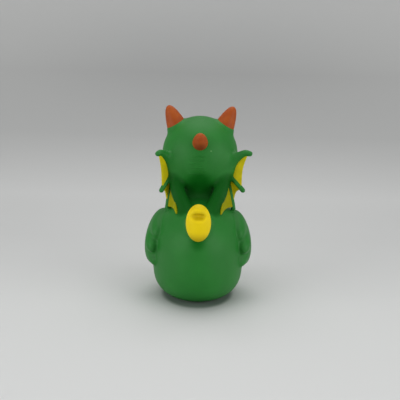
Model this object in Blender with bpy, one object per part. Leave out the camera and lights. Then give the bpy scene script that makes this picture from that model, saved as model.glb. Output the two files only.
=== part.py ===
"""A hollow vinyl bath duck dressed as a dragon, moulded in one piece and painted.

Metres, +Z up. The duck faces -Y and stands on its flat keel at z = 0, with the origin at the
bottom of its body. The skin is one soft form, fused and smoothed as the mould is, and the
painted horns, spike, fins, tail tip, bill and eyes are joined to it. A cavity follows the
skin at one wall's depth and opens through the vent in the keel.
"""

import math

import bmesh
import bpy
from mathutils import Matrix, Quaternion, Vector

# Body: a rounded hull, widest low down
BODY_WIDTH = 0.0450
BODY_HEIGHT = 0.0500
BODY_WIDEST_AT = 0.0185
RUMP_REACH = 0.0310
RUMP_FULLEST_AT = 0.0285
CHEST_REACH = 0.0270
CHEST_FULLEST_AT = 0.0240
KEEL_DEPTH = 0.0022
KEEL_POWER = 3.3
SHOULDER_POWER = 3.4
RUMP_POWER = 2.1
CHEST_POWER = 2.2

# Neck and head
NECK_RADIUS = 0.0095
NECK_RISE = 0.0018
NECK_FORWARD = 0.0065
NECK_FLARE = 0.0060
HEAD_RADIUS = 0.0189
HEAD_FORWARD = 0.0080

# Horns on the crown and the spike on the back of the head
HORN_LENGTH = 0.0101
HORN_BASE_RADIUS = 0.0051
HORN_TIP_RADIUS = 0.0020
HORN_SPREAD = math.radians(40.0)
HORN_LEAN = math.radians(24.0)
HORN_COLLAR = 0.0007
SPIKE_LENGTH = 0.0073
SPIKE_BASE_RADIUS = 0.0037
SPIKE_TIP_RADIUS = 0.0021
SPIKE_HEIGHT_ANGLE = math.radians(29.5)
SPIKE_LEAN = math.radians(33.0)

# Bill and eyes
BILL_WIDTH = 0.0164
BILL_LENGTH = 0.0104
BILL_THICKNESS = 0.0080
BILL_DROP_ANGLE = math.radians(14.0)
BILL_UPTURN = math.radians(14.0)
EYE_WIDTH = 0.0056
EYE_HEIGHT = 0.0074
EYE_STAND = 0.0006
EYE_SPREAD = math.radians(24.0)
EYE_LIFT = math.radians(17.0)

# Side wings: a thick pad on each flank, ending in three feather lobes
FLANK_WING_THICKNESS = 0.0120
FLANK_WING_LENGTH = 0.0260
FLANK_WING_HEIGHT = 0.0288
FLANK_WING_STAND = 0.0042
FLANK_WING_CENTRE_HEIGHT = 0.0296
FLANK_WING_TILT = math.radians(12.0)
FEATHER_COUNT = 3
FEATHER_THICKNESS = 0.0062
FEATHER_OVERHANG = 0.0032

# Dragon wings: an arm from the back to a wrist beside the head, and three fingers
ARM_RADIUS = 0.0029
WRIST_RADIUS = 0.0024
WRIST_SPREAD = 0.0130
WRIST_BEHIND_HEAD = 0.0094
WRIST_DROP = 0.0075
ARM_ROOT_SPREAD = 0.0058
ARM_ROOT_BEHIND_NECK = 0.0210
ARM_ROOT_DROP = 0.0056
ARM_BOW = 0.0024
FIN_SWEEP_LEFT = math.radians(52.0)
FIN_SWEEP_RIGHT = math.radians(24.0)
FIN_REACH = 0.0126
HOOK_RISE = 0.0108
HOOK_ARCH = 0.0010
FINGER_RADIUS = 0.0014
FINGER_TIP_RADIUS = 0.0012
MEMBRANE_THICKNESS = 0.0012
MEMBRANE_SETBACK = 0.0004
SCALLOP_DEPTH = 0.16
INNER_SCALLOP_DEPTH = 0.06

# Tail: a stalk from the rump and an oval tip with a scoop under its lip
TAIL_TIP_WIDTH = 0.0117
TAIL_TIP_HEIGHT = 0.0184
TAIL_TIP_DEPTH = 0.0096
TAIL_TIP_BEHIND_RUMP = 0.0000
TAIL_TIP_CENTRE_HEIGHT = 0.0451
TAIL_TIP_LEAN = math.radians(9.0)
TAIL_SCOOP_DEPTH = 0.0032
TAIL_STALK_RADIUS = 0.0054
TAIL_ROOT_RADIUS = 0.0105

# Wall of the moulding, and the vent through the keel
WALL = 0.0021
KEEL_WALL = 0.0026
VENT_RADIUS = 0.0013
VENT_BACK = 0.0080

# Mesh of the soft skin and of the cavity inside it
SKIN_CELLS = 120
SKIN_SMOOTHING = 7
SKIN_TRIANGLES = 4600
CAVITY_CELLS = 60
CAVITY_SMOOTHING = 3
CAVITY_TRIANGLES = 1100
ROUND_SIDES = 20
FINGER_SIDES = 10
OVERSHOOT = 0.0050

# Places worked out from the sizes above
HEAD_CENTRE = Vector((0.0, -HEAD_FORWARD, BODY_HEIGHT + NECK_RISE + HEAD_RADIUS))
TAIL_CENTRE = Vector((0.0, RUMP_REACH + TAIL_TIP_BEHIND_RUMP, TAIL_TIP_CENTRE_HEIGHT))

PAINTS = {
    "green_vinyl": ((0.030, 0.150, 0.040), 0.50),
    "orange_paint": ((0.550, 0.120, 0.030), 0.50),
    "yellow_paint": ((0.720, 0.540, 0.020), 0.48),
    "black_paint": ((0.012, 0.012, 0.012), 0.30),
}


def clear_scene():
    """Empties the file of objects, so that a second run gives the same model."""
    for old in list(bpy.data.objects):
        bpy.data.objects.remove(old, do_unlink=True)


def paint(name):
    """One of the duck's finishes, made once."""
    material = bpy.data.materials.get(name)
    if material is None:
        colour, roughness = PAINTS[name]
        material = bpy.data.materials.new(name)
        material.use_nodes = True
        shader = material.node_tree.nodes["Principled BSDF"]
        shader.inputs["Base Color"].default_value = (*colour, 1.0)
        shader.inputs["Roughness"].default_value = roughness
        shader.inputs["Metallic"].default_value = 0.0
    return material


def add_object(name, bm, finish):
    """Turns a bmesh into a named object with one finish, its faces pointing out."""
    bmesh.ops.recalc_face_normals(bm, faces=bm.faces)
    mesh = bpy.data.meshes.new(name)
    bm.to_mesh(mesh)
    bm.free()
    mesh.materials.append(paint(finish))
    thing = bpy.data.objects.new(name, mesh)
    bpy.context.collection.objects.link(thing)
    return thing


def lofted(name, rings, finish):
    """A closed skin through rings of points, with a face over each end."""
    bm = bmesh.new()
    loops = [[bm.verts.new(point) for point in ring] for ring in rings]
    for lower, upper in zip(loops, loops[1:]):
        for i in range(len(lower)):
            j = (i + 1) % len(lower)
            bm.faces.new((lower[i], lower[j], upper[j], upper[i]))
    bm.faces.new(reversed(loops[0]))
    bm.faces.new(loops[-1])
    return add_object(name, bm, finish)


def ellipsoid(name, centre, radii, finish, turn=None, sides=ROUND_SIDES):
    """A ball stretched to three radii, turned and put at its centre."""
    bm = bmesh.new()
    turned = turn.to_matrix().to_4x4() if turn else Matrix.Identity(4)
    place = Matrix.Translation(centre) @ turned @ Matrix.Diagonal((*radii, 1.0))
    bmesh.ops.create_uvsphere(
        bm, u_segments=sides, v_segments=sides // 2, radius=1.0, matrix=place
    )
    return add_object(name, bm, finish)


def along(start, bend, end, share):
    """A point on the curve from start to end that leans towards bend."""
    return start.lerp(bend, share).lerp(bend.lerp(end, share), share)


def tapered_tube(name, path, radii, finish, sides=FINGER_SIDES):
    """A round bar along a path, with its own radius at each point."""
    rings = []
    heading = (path[1] - path[0]).normalized()
    frame = heading.to_track_quat("Z", "Y")
    for i, point in enumerate(path):
        ahead = path[min(i + 1, len(path) - 1)]
        behind = path[max(i - 1, 0)]
        tangent = (ahead - behind).normalized()
        frame = heading.rotation_difference(tangent) @ frame
        heading = tangent
        ring = []
        for k in range(sides):
            angle = 2.0 * math.pi * k / sides
            spoke = Vector((math.cos(angle), math.sin(angle), 0.0)) * radii[i]
            ring.append(point + frame @ spoke)
        rings.append(ring)
    return lofted(name, rings, finish)


def blunt_cone(name, base, axis, length, base_radius, tip_radius, sunk, finish):
    """A cone with a round tip, standing on its base and sunk into what carries it."""
    tip_centre = length - tip_radius
    side_slope = math.atan2(base_radius - tip_radius, tip_centre)
    belly = 1.05
    stations = [(-sunk, base_radius), (0.0, base_radius)]
    stations.append((tip_centre * 0.5, (base_radius + tip_radius) * 0.5 * belly))
    steps = 5
    for i in range(steps):
        turn = side_slope + (0.5 * math.pi - side_slope) * i / steps
        stations.append(
            (tip_centre + tip_radius * math.sin(turn), tip_radius * math.cos(turn))
        )
    stations.append((length, tip_radius * 0.12))
    path = [base + axis * reach for reach, _ in stations]
    radii = [radius for _, radius in stations]
    return tapered_tube(name, path, radii, finish, ROUND_SIDES)


def girth_share(height, fullest_at, bottom, top, power_below, power_above):
    """How much of its full girth the hull has at a height."""
    if height < fullest_at:
        rise = (fullest_at - height) / (fullest_at - bottom)
        return math.sqrt(max(0.0, 1.0 - rise**power_below))
    rise = (height - fullest_at) / (top - fullest_at)
    return math.sqrt(max(0.0, 1.0 - rise**power_above))


def hull(name, inset):
    """The body as a stack of egg-shaped rings, set in all round by inset."""
    bottom = -KEEL_DEPTH + inset
    top = BODY_HEIGHT - inset
    count = 24
    rings = []
    for i in range(count + 1):
        share = 0.5 - 0.5 * math.cos(math.pi * (i + 0.35) / (count + 0.7))
        height = bottom + (top - bottom) * share
        half_width, rear, front = (
            (reach - inset) * girth_share(height, at, bottom, top, below, above)
            for reach, at, below, above in (
                (BODY_WIDTH / 2, BODY_WIDEST_AT, KEEL_POWER, SHOULDER_POWER),
                (RUMP_REACH, RUMP_FULLEST_AT, KEEL_POWER, RUMP_POWER),
                (CHEST_REACH, CHEST_FULLEST_AT, KEEL_POWER, CHEST_POWER),
            )
        )
        ring = []
        for k in range(2 * ROUND_SIDES):
            angle = math.pi * k / ROUND_SIDES
            reach = rear if math.sin(angle) > 0.0 else front
            ring.append(
                Vector((half_width * math.cos(angle), reach * math.sin(angle), height))
            )
        rings.append(ring)
    return lofted(name, rings, "green_vinyl")


def trunk(label, inset):
    """Body, neck and head, each set in by inset: the skin's core, or the cavity."""
    neck_foot = Vector((0.0, -NECK_FORWARD, BODY_HEIGHT - NECK_RADIUS))
    neck_head = HEAD_CENTRE - Vector((0.0, 0.0, HEAD_RADIUS * 0.6))
    steps = 10
    neck_path = [neck_foot.lerp(neck_head, i / steps) for i in range(steps + 1)]
    neck_radii = [
        NECK_RADIUS + NECK_FLARE * (2.0 * i / steps - 1.0) ** 2 - inset
        for i in range(steps + 1)
    ]
    head_radius = HEAD_RADIUS - inset
    return [
        hull(f"{label}_hull", inset),
        tapered_tube(
            f"{label}_neck", neck_path, neck_radii, "green_vinyl", ROUND_SIDES
        ),
        ellipsoid(
            f"{label}_head",
            HEAD_CENTRE,
            (head_radius,) * 3,
            "green_vinyl",
            sides=2 * ROUND_SIDES,
        ),
    ]


def horn_base(side):
    """Where a horn's axis meets the head, and the way it points."""
    out = Vector((side * math.sin(HORN_SPREAD), 0.0, math.cos(HORN_SPREAD)))
    axis = Vector((side * math.sin(HORN_LEAN), 0.0, math.cos(HORN_LEAN)))
    return HEAD_CENTRE + out * HEAD_RADIUS, axis


def wing_wrist(side):
    """The joint of a dragon wing, just behind the head's side."""
    return Vector(
        (
            side * WRIST_SPREAD,
            HEAD_CENTRE.y + WRIST_BEHIND_HEAD,
            HEAD_CENTRE.z - WRIST_DROP,
        )
    )


def arm_curve(side):
    """The arm's line: its root on the back, the bend it leans to, and the wrist."""
    root = Vector(
        (
            side * ARM_ROOT_SPREAD,
            -NECK_FORWARD + ARM_ROOT_BEHIND_NECK,
            BODY_HEIGHT - ARM_ROOT_DROP,
        )
    )
    wrist = wing_wrist(side)
    bend = root.lerp(wrist, 0.5) + Vector((side * ARM_BOW, 0.0, 0.0))
    return root, bend, wrist


def wing_arm(side):
    """The thick arm from the back up to the wrist."""
    root, bend, wrist = arm_curve(side)
    steps = 6
    path = [along(root, bend, wrist, i / steps) for i in range(steps + 1)]
    radii = [
        ARM_RADIUS + (WRIST_RADIUS - ARM_RADIUS) * (i / steps) ** 2
        for i in range(steps + 1)
    ]
    knuckle = (WRIST_RADIUS * 1.15,) * 3
    return [
        tapered_tube(f"arm_{side}", path, radii, "green_vinyl", ROUND_SIDES),
        ellipsoid(f"knuckle_{side}", wrist, knuckle, "green_vinyl"),
    ]


def flank_wing(side):
    """A side wing's pad and the feather lobes along its rear edge."""
    lean = Quaternion((0.0, 1.0, 0.0), -side * FLANK_WING_TILT)
    centre = Vector(
        (
            side * (BODY_WIDTH / 2 + FLANK_WING_STAND - FLANK_WING_THICKNESS / 2),
            0.0,
            FLANK_WING_CENTRE_HEIGHT,
        )
    )
    radii = (
        FLANK_WING_THICKNESS / 2,
        FLANK_WING_LENGTH / 2,
        FLANK_WING_HEIGHT / 2,
    )
    pieces = [ellipsoid(f"pad_{side}", centre, radii, "green_vinyl", lean)]
    droop = Quaternion((1.0, 0.0, 0.0), -math.radians(20.0))
    for i in range(FEATHER_COUNT):
        share = (i + 0.5) / FEATHER_COUNT
        height = (0.5 - share) * FLANK_WING_HEIGHT * 0.80
        bow = (2.0 * share - 1.0) ** 2 + 0.5 * (share - 0.5)
        offset = Vector(
            (
                side * (radii[0] * (0.96 - 0.75 * bow) - FEATHER_THICKNESS / 2),
                radii[1] * (0.52 - 0.22 * bow),
                height,
            )
        )
        half = (
            FEATHER_THICKNESS / 2,
            radii[1] * 0.45 + FEATHER_OVERHANG,
            FLANK_WING_HEIGHT / FEATHER_COUNT * (0.50 + 0.10 * share),
        )
        name = f"feather_{side}_{i}"
        place = centre + lean @ offset
        pieces.append(ellipsoid(name, place, half, "green_vinyl", lean @ droop))
    return pieces


def tail_stalk():
    """The green root of the tail, rising out of the rump into the tip."""
    root = Vector((0.0, RUMP_REACH * 0.40, RUMP_FULLEST_AT + TAIL_ROOT_RADIUS * 0.6))
    bend = Vector((0.0, RUMP_REACH * 0.78, TAIL_CENTRE.z - TAIL_STALK_RADIUS * 1.2))
    end = TAIL_CENTRE + Vector((0.0, -TAIL_TIP_DEPTH * 0.20, TAIL_TIP_HEIGHT * 0.06))
    steps = 6
    path = [along(root, bend, end, i / steps) for i in range(steps + 1)]
    radii = [
        TAIL_ROOT_RADIUS
        + (TAIL_STALK_RADIUS - TAIL_ROOT_RADIUS) * i / steps
        - TAIL_STALK_RADIUS * 0.35 * (i / steps) ** 4
        for i in range(steps + 1)
    ]
    return tapered_tube("stalk", path, radii, "green_vinyl", ROUND_SIDES)


def horn_collar(side):
    """The low green swelling that a horn stands on."""
    base, axis = horn_base(side)
    radius = HORN_BASE_RADIUS + HORN_COLLAR
    centre = base - axis * HORN_BASE_RADIUS * 0.50
    return ellipsoid(
        f"collar_{side}",
        centre,
        (radius, radius, HORN_BASE_RADIUS),
        "green_vinyl",
        axis.to_track_quat("Z", "Y"),
    )


def fused(name, pieces, cells, smoothing, triangles):
    """One soft skin over all the pieces, smoothed where they meet."""
    bm = bmesh.new()
    for piece in pieces:
        bm.from_mesh(piece.data)
        bpy.data.objects.remove(piece, do_unlink=True)
    skin = add_object(name, bm, "green_vinyl")
    voxels = skin.modifiers.new("voxels", "REMESH")
    voxels.mode = "VOXEL"
    voxels.voxel_size = (HEAD_CENTRE.z + HEAD_RADIUS) / cells
    soften = skin.modifiers.new("soften", "SMOOTH")
    soften.factor = 0.5
    soften.iterations = smoothing
    full = evaluated_mesh(skin)
    faces = sum(len(face.vertices) - 2 for face in full.polygons)
    thin = skin.modifiers.new("thin", "DECIMATE")
    thin.ratio = min(1.0, triangles / faces)
    skin.data = evaluated_mesh(skin)
    skin.modifiers.clear()
    skin.data.materials.clear()
    skin.data.materials.append(paint("green_vinyl"))
    return skin


def evaluated_mesh(thing):
    """The object's mesh with its modifiers applied."""
    bpy.context.view_layer.update()
    graph = bpy.context.evaluated_depsgraph_get()
    return bpy.data.meshes.new_from_object(thing.evaluated_get(graph))


def combine(target, piece, operation):
    """Joins a piece to the moulding, or cuts it away, and keeps its paint.

    The manifold solver takes the crowd of fins and webs at each wrist, where the exact one
    loses the body. Every piece is closed, which it needs.
    """
    piece.hide_render = True
    piece.display_type = "WIRE"
    boolean = target.modifiers.new(piece.name, "BOOLEAN")
    boolean.operation = operation
    boolean.solver = "MANIFOLD"
    boolean.material_mode = "TRANSFER"
    boolean.object = piece


def horn(side):
    """An orange horn on the crown."""
    base, axis = horn_base(side)
    return blunt_cone(
        f"horn_{side}",
        base,
        axis,
        HORN_LENGTH,
        HORN_BASE_RADIUS,
        HORN_TIP_RADIUS,
        HORN_BASE_RADIUS,
        "orange_paint",
    )


def spike():
    """The orange spike on the back of the head."""
    out = Vector((0.0, math.cos(SPIKE_HEIGHT_ANGLE), math.sin(SPIKE_HEIGHT_ANGLE)))
    axis = Vector((0.0, math.cos(SPIKE_LEAN), math.sin(SPIKE_LEAN)))
    return blunt_cone(
        "spike",
        HEAD_CENTRE + out * HEAD_RADIUS,
        axis,
        SPIKE_LENGTH,
        SPIKE_BASE_RADIUS,
        SPIKE_TIP_RADIUS,
        SPIKE_BASE_RADIUS,
        "orange_paint",
    )


def tail_tip():
    """The yellow oval end of the tail, scooped across under its upper lip."""
    lean = Quaternion((1.0, 0.0, 0.0), -TAIL_TIP_LEAN)
    radii = (TAIL_TIP_WIDTH / 2, TAIL_TIP_DEPTH / 2, TAIL_TIP_HEIGHT / 2)
    tip = ellipsoid("tail_tip", TAIL_CENTRE, radii, "yellow_paint", lean, 28)
    for vertex in tip.data.vertices:
        place = lean.inverted() @ (vertex.co - TAIL_CENTRE)
        across = place.x / (radii[0] * 0.75)
        up = (place.z - radii[2] * 0.42) / (radii[2] * 0.24)
        behind = max(0.0, place.y / radii[1])
        press = TAIL_SCOOP_DEPTH * math.exp(-(across**2) - up**2) * behind
        vertex.co += lean @ Vector((0.0, -press, 0.0))
    return tip


def fin_point(side, out, up):
    """A point of a dragon wing's fan: out from the wrist along its sweep, and up."""
    sweep = FIN_SWEEP_LEFT if side > 0 else FIN_SWEEP_RIGHT
    return wing_wrist(side) + Vector(
        (side * out * math.cos(sweep), out * math.sin(sweep), up)
    )


def finger_curves(side):
    """The three fingers, from the hook down, each a start, a bend and a tip."""
    drop_to_back = wing_wrist(side).z - BODY_HEIGHT
    wrist = wing_wrist(side)
    hook = (
        fin_point(side, 0.0, WRIST_RADIUS * 0.2),
        fin_point(side, FIN_REACH * 0.50, HOOK_RISE + HOOK_ARCH),
        fin_point(side, FIN_REACH * 0.99, HOOK_RISE),
    )
    middle = (
        wrist,
        fin_point(side, FIN_REACH * 0.38, -drop_to_back * 0.24),
        fin_point(side, FIN_REACH * 0.78, -drop_to_back * 0.62),
    )
    low = (
        fin_point(side, 0.0, -WRIST_RADIUS * 0.2),
        fin_point(side, FIN_REACH * 0.20, -drop_to_back * 0.60),
        fin_point(side, FIN_REACH * 0.36, -drop_to_back * 1.36),
    )
    return hook, middle, low


def finger(name, curve, root_radius):
    """One finger, tapering to a round tip."""
    steps = 9
    path = [along(*curve, i / steps) for i in range(steps + 1)]
    radii = [
        root_radius + (FINGER_TIP_RADIUS - root_radius) * i / steps
        for i in range(steps + 1)
    ]
    heading = (path[-1] - path[-2]).normalized()
    for turn in (0.3, 0.6, 0.9):
        path.append(
            along(*curve, 1.0) + heading * FINGER_TIP_RADIUS * math.sin(turn * 1.57)
        )
        radii.append(FINGER_TIP_RADIUS * math.cos(turn * 1.57))
    return tapered_tube(name, path, radii, "green_vinyl")


def membrane(name, upper, lower, scallop_depth=SCALLOP_DEPTH):
    """A thin web between two curves from the wrist, its free edge scalloped."""
    along_steps = 8
    across_steps = 6
    first = 0.15
    last = 0.90
    grid = []
    for i in range(along_steps + 1):
        row = []
        for k in range(across_steps + 1):
            across = k / across_steps
            scallop = 1.0 - scallop_depth * math.sin(math.pi * across)
            share = (first + (last - first) * i / along_steps) * scallop
            top = along(*upper, share)
            bottom = along(*lower, share)
            inward = (bottom - top).normalized() * MEMBRANE_SETBACK
            row.append((top + inward).lerp(bottom - inward, across))
        grid.append(row)
    middle = grid[along_steps // 2]
    normal = (middle[-1] - middle[0]).cross(grid[-1][0] - grid[0][0]).normalized()
    lift = normal * MEMBRANE_THICKNESS / 2
    bm = bmesh.new()
    sheets = [
        [[bm.verts.new(point + lift * way) for point in row] for row in grid]
        for way in (1.0, -1.0)
    ]
    for sheet in sheets:
        for i in range(along_steps):
            for k in range(across_steps):
                bm.faces.new(
                    (
                        sheet[i][k],
                        sheet[i][k + 1],
                        sheet[i + 1][k + 1],
                        sheet[i + 1][k],
                    )
                )
    rims = [rim_of(sheet) for sheet in sheets]
    count = len(rims[0])
    for i in range(count):
        j = (i + 1) % count
        bm.faces.new((rims[0][i], rims[0][j], rims[1][j], rims[1][i]))
    return add_object(name, bm, "yellow_paint")


def rim_of(sheet):
    """The vertices round a grid's edge, in order."""
    return (
        sheet[0][:]
        + [row[-1] for row in sheet[1:]]
        + sheet[-1][-2::-1]
        + [row[0] for row in sheet[-2:0:-1]]
    )


def dragon_wing(side):
    """The fingers of one dragon wing and the webs between them."""
    hook, middle, low = finger_curves(side)
    root, bend, wrist = arm_curve(side)
    foot = root + Vector((side * 0.8, 1.0, -0.6)) * ARM_RADIUS
    arm_side = (wrist, bend, foot)
    pieces = [
        membrane(f"outer_web_{side}", hook, middle),
        membrane(f"middle_web_{side}", middle, low),
        membrane(f"inner_web_{side}", low, arm_side, INNER_SCALLOP_DEPTH),
    ]
    for label, curve, radius in (
        ("hook", hook, WRIST_RADIUS),
        ("middle", middle, FINGER_RADIUS),
        ("low", low, FINGER_RADIUS),
    ):
        pieces.append(finger(f"{label}_finger_{side}", curve, radius))
    return pieces


def bill():
    """The duck's bill: an upper and a lower lobe on the front of the head."""
    front = Vector((0.0, -math.cos(BILL_DROP_ANGLE), -math.sin(BILL_DROP_ANGLE)))
    root = HEAD_CENTRE + front * HEAD_RADIUS
    tilt = Quaternion((1.0, 0.0, 0.0), -BILL_UPTURN)
    half = BILL_THICKNESS / 2
    upper = ellipsoid(
        "upper_bill",
        root + Vector((0.0, 0.0, half * 0.40)),
        (BILL_WIDTH / 2, BILL_LENGTH, half * 0.85),
        "orange_paint",
        tilt,
    )
    lower = ellipsoid(
        "lower_bill",
        root + Vector((0.0, 0.0, -half * 0.48)),
        (BILL_WIDTH * 0.40, BILL_LENGTH * 0.80, half * 0.70),
        "orange_paint",
    )
    return [upper, lower]


def eye(side):
    """A low oval bump on the face."""
    out = Vector(
        (
            side * math.sin(EYE_SPREAD) * math.cos(EYE_LIFT),
            -math.cos(EYE_SPREAD) * math.cos(EYE_LIFT),
            math.sin(EYE_LIFT),
        )
    )
    depth = EYE_HEIGHT * 0.3
    return ellipsoid(
        f"eye_{side}",
        HEAD_CENTRE + out * (HEAD_RADIUS + EYE_STAND - depth),
        (EYE_WIDTH / 2, EYE_HEIGHT / 2, depth),
        "black_paint",
        out.to_track_quat("Z", "Y"),
    )


def box(name, low, high):
    """A plain block between two corners."""
    bm = bmesh.new()
    size = high - low
    place = Matrix.Translation((low + high) / 2) @ Matrix.Diagonal((*size, 1.0))
    bmesh.ops.create_cube(bm, size=1.0, matrix=place)
    return add_object(name, bm, "green_vinyl")


def floor_cut(name, height):
    """A block that takes away everything below a height."""
    reach = 2.0 * (BODY_WIDTH + RUMP_REACH)
    low = Vector((-reach, -reach, height - OVERSHOOT - WALL - KEEL_DEPTH))
    return box(name, low, Vector((reach, reach, height)))


def vent():
    """The round hole from the keel into the cavity."""
    low = Vector((0.0, VENT_BACK, -OVERSHOOT))
    high = Vector((0.0, VENT_BACK, KEEL_WALL + OVERSHOOT))
    return tapered_tube(
        "vent", [low, high], [VENT_RADIUS] * 2, "green_vinyl", ROUND_SIDES
    )


def build():
    """The whole moulding as one object, with its parts' paints on its faces."""
    clear_scene()
    soft_parts = trunk("skin", 0.0) + [tail_stalk()]
    for side in (1, -1):
        soft_parts += flank_wing(side) + wing_arm(side) + [horn_collar(side)]
    moulding = fused(
        "duck_moulding", soft_parts, SKIN_CELLS, SKIN_SMOOTHING, SKIN_TRIANGLES
    )
    painted = [spike(), tail_tip()] + bill()
    for side in (1, -1):
        painted += [horn(side), eye(side)] + dragon_wing(side)
    for piece in painted:
        combine(moulding, piece, "UNION")
    cavity = fused(
        "cavity", trunk("hollow", WALL), CAVITY_CELLS, CAVITY_SMOOTHING, CAVITY_TRIANGLES
    )
    combine(cavity, floor_cut("cavity_floor", KEEL_WALL), "DIFFERENCE")
    combine(moulding, cavity, "DIFFERENCE")
    combine(moulding, floor_cut("keel_cut", 0.0), "DIFFERENCE")
    combine(moulding, vent(), "DIFFERENCE")


build()
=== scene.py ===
"""Looks of a hollow vinyl bath duck dressed as a dragon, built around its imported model.

Forms are laid out in millimetres in the frame of the CAD model: +Z up, the bill towards -Y, the
duck's left at +X and the keel on z = 0. The green skin is one soft casting, drawn from distances
on a grid, so that its parts flow into each other as they do in the mould. The painted parts
stand on it as pieces of their own.
"""

from __future__ import annotations

import logging
import math
from dataclasses import dataclass, field
from enum import Enum
from typing import Any, Protocol, Sequence

import bpy
import numpy as np
from mathutils import Matrix, Quaternion, Vector

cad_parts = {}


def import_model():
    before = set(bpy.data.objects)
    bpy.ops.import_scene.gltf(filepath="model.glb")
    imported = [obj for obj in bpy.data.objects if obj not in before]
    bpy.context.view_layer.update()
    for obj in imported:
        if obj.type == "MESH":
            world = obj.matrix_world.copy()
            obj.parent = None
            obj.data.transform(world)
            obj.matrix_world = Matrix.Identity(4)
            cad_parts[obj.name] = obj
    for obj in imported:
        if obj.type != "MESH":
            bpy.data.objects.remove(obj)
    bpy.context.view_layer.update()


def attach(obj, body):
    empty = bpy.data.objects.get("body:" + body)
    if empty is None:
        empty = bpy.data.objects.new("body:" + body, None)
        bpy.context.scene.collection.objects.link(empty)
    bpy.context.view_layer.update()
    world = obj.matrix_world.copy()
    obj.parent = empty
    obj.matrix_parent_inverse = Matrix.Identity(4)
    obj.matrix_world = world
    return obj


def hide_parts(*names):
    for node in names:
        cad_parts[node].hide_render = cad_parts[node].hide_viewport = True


log = logging.getLogger("duck")

MM = 0.001
BODY = "root"
NODE = "duck_moulding"
WINDOW_MARGIN = 6.0
FAR_AWAY = 50.0

Colour = tuple[float, float, float]


class Side(Enum):
    """The duck's own left and right, as signs along X."""

    LEFT = 1
    RIGHT = -1


# Node trees


class Wire:
    """A number in a node tree, on which Python's operators add Math nodes."""

    def __init__(self, bench: Bench, socket: bpy.types.NodeSocket) -> None:
        """Wraps an output socket of a node on the bench."""
        self.bench = bench
        self.socket = socket

    def math(self, operation: str, *others: Wire | float) -> Wire:
        """Adds one Math node.

        Args:
            operation: the Math node's operation.
            others: its second and third values.

        Returns:
            The node's result.
        """
        sockets = dict(enumerate((self, *others)))
        node = self.bench.node("ShaderNodeMath", sockets, {"operation": operation})
        return Wire(self.bench, node.outputs[0])

    def __add__(self, other: Wire | float) -> Wire:
        """self + other."""
        return self.math("ADD", other)

    __radd__ = __add__

    def __sub__(self, other: Wire | float) -> Wire:
        """self - other."""
        return self.math("SUBTRACT", other)

    def __rsub__(self, other: float) -> Wire:
        """other - self."""
        return (self * -1.0) + other

    def __mul__(self, other: Wire | float) -> Wire:
        """self * other."""
        return self.math("MULTIPLY", other)

    __rmul__ = __mul__

    def __truediv__(self, other: Wire | float) -> Wire:
        """self / other."""
        return self.math("DIVIDE", other)

    def __pow__(self, other: Wire | float) -> Wire:
        """self ** other, for a self that isn't negative."""
        return self.math("POWER", other)

    def at_least(self, other: Wire | float) -> Wire:
        """The larger of the two."""
        return self.math("MAXIMUM", other)

    def at_most(self, other: Wire | float) -> Wire:
        """The smaller of the two."""
        return self.math("MINIMUM", other)

    def ramped(self, start: float, end: float) -> Wire:
        """0 at start and 1 at end, with soft ends and nothing outside."""
        settings = {"interpolation_type": "SMOOTHSTEP"}
        sockets = {"Value": self, "From Min": start, "From Max": end}
        node = self.bench.node("ShaderNodeMapRange", sockets, settings)
        return Wire(self.bench, node.outputs["Result"])


class Bench:
    """Adds nodes to one tree and links them."""

    def __init__(self, tree: bpy.types.NodeTree) -> None:
        """Starts work on a tree."""
        self.tree = tree

    def node(
        self,
        kind: str,
        sockets: dict[str | int, Any] | None = None,
        settings: dict[str, Any] | None = None,
    ) -> bpy.types.Node:
        """Adds a node.

        Args:
            kind: the node's type.
            sockets: values or links for its inputs, by name or by number.
            settings: its properties, set first; "stops" gives a ramp its places and colours.

        Returns:
            The new node.
        """
        node = self.tree.nodes.new(kind)
        for name, value in (settings or {}).items():
            if name == "stops":
                self._set_stops(node.color_ramp, value)
            else:
                setattr(node, name, value)
        for name, value in (sockets or {}).items():
            if isinstance(value, Wire):
                value = value.socket
            if isinstance(value, bpy.types.NodeSocket):
                self.tree.links.new(value, node.inputs[name])
            else:
                node.inputs[name].default_value = value
        return node

    @staticmethod
    def _set_stops(ramp: bpy.types.ColorRamp, stops: Sequence[tuple[float, Colour]]) -> None:
        """Gives a ramp its places and colours."""
        while len(ramp.elements) < len(stops):
            ramp.elements.new(0.5)
        for element, (place, colour) in zip(ramp.elements, stops):
            element.position = place
            element.color = (*colour, 1.0)

    def wire(self, node: bpy.types.Node, output: str | int = 0) -> Wire:
        """One of a node's outputs, as a number to work with."""
        return Wire(self, node.outputs[output])

    def mixed(self, share: Wire | float, first: Any, second: Any) -> bpy.types.NodeSocket:
        """A colour between two colours.

        Args:
            share: how much of the second there is.
            first: a colour or a colour's socket.
            second: the same.

        Returns:
            The mixed colour's socket.
        """
        settings = {"data_type": "RGBA", "clamp_factor": True}
        colours = [(*c, 1.0) if isinstance(c, tuple) else c for c in (first, second)]
        node = self.node("ShaderNodeMix", {0: share, 6: colours[0], 7: colours[1]}, settings)
        return node.outputs[2]

    def dress(self, sockets: dict[str, Any]) -> None:
        """Ends a material's tree with a shader that has the given sockets."""
        shader = self.node("ShaderNodeBsdfPrincipled", sockets)
        self.node("ShaderNodeOutputMaterial", {"Surface": shader.outputs["BSDF"]})


def blank_material(name: str) -> tuple[bpy.types.Material, Bench, bpy.types.NodeSocket]:
    """A material without nodes, its bench, and each point's place on the piece."""
    material = bpy.data.materials.new(name)
    material.use_nodes = True
    material.node_tree.nodes.clear()
    bench = Bench(material.node_tree)
    return material, bench, bench.node("ShaderNodeTexCoord").outputs["Object"]


# Finishes


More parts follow.
